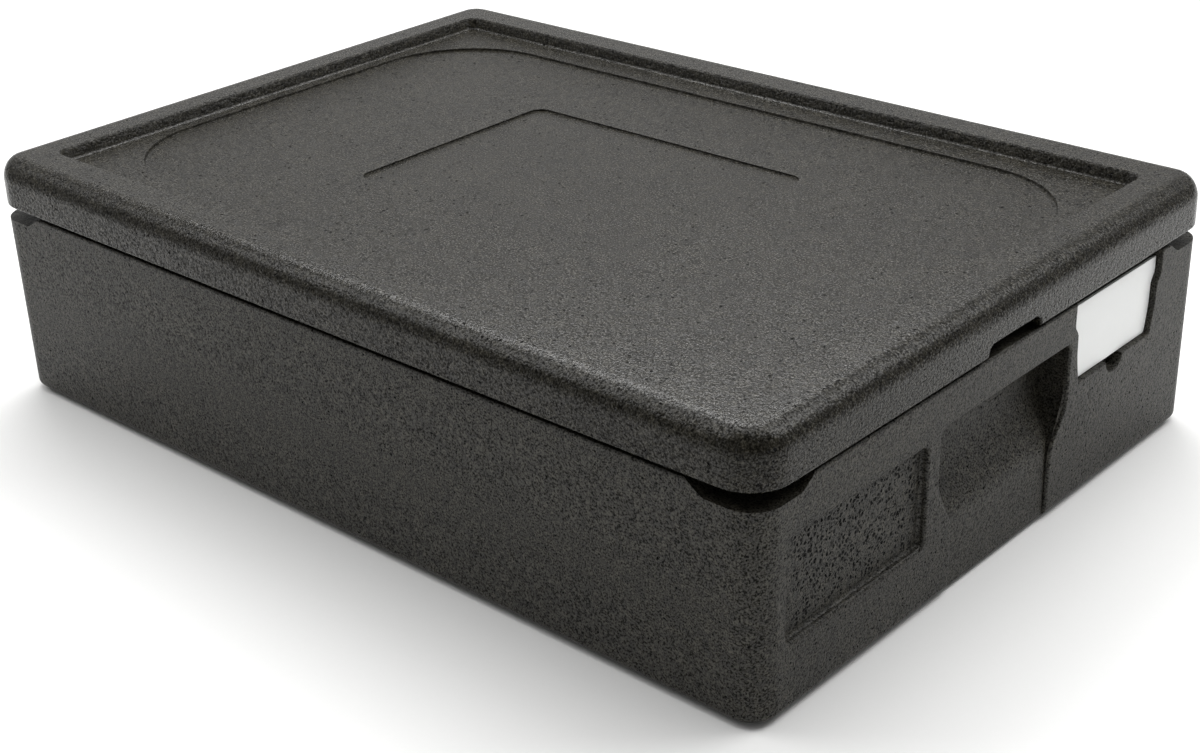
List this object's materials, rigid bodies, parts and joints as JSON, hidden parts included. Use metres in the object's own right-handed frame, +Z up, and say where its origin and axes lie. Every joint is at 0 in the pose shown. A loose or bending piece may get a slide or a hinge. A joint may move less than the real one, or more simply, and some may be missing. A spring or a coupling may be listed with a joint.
{
  "type": "insulated food carrier",
  "caption": "Moulded foam box for carrying hot or cold food trays, with a lift-off lid, end grips, lift notches at the corners and clip-in label plates.",
  "frame": {"origin": "centre of the footprint, on the ground", "axes": "+X along the long side, towards the short end called right; +Y along the short side; +Z up"},
  "size_m": [0.685, 0.485, 0.18],
  "materials": {
    "body_foam": "moulded expanded polypropylene bead foam, satin skin",
    "lid_foam": "moulded expanded polypropylene bead foam, slightly glossier skin on the edges",
    "label_plastic": "white, smooth, half gloss"
  },
  "bodies": {
    "box": {"body": "body_foam"},
    "lid": {"lid": "lid_foam"},
    "label_right": {"label_plate_right": "label_plastic"},
    "label_left": {"label_plate_left": "label_plastic"}
  },
  "joints": [
    {"name": "lid_lift", "type": "slide", "parent": "box", "child": "lid", "axis": [0, 0, 1], "range_m": [0, 0.15]},
    {"name": "label_right_pull", "type": "slide", "parent": "box", "child": "label_right", "axis": [1, 0, 0], "range_m": [0, 0.025]},
    {"name": "label_left_pull", "type": "slide", "parent": "box", "child": "label_left", "axis": [-1, 0, 0], "range_m": [0, 0.025]}
  ]
}
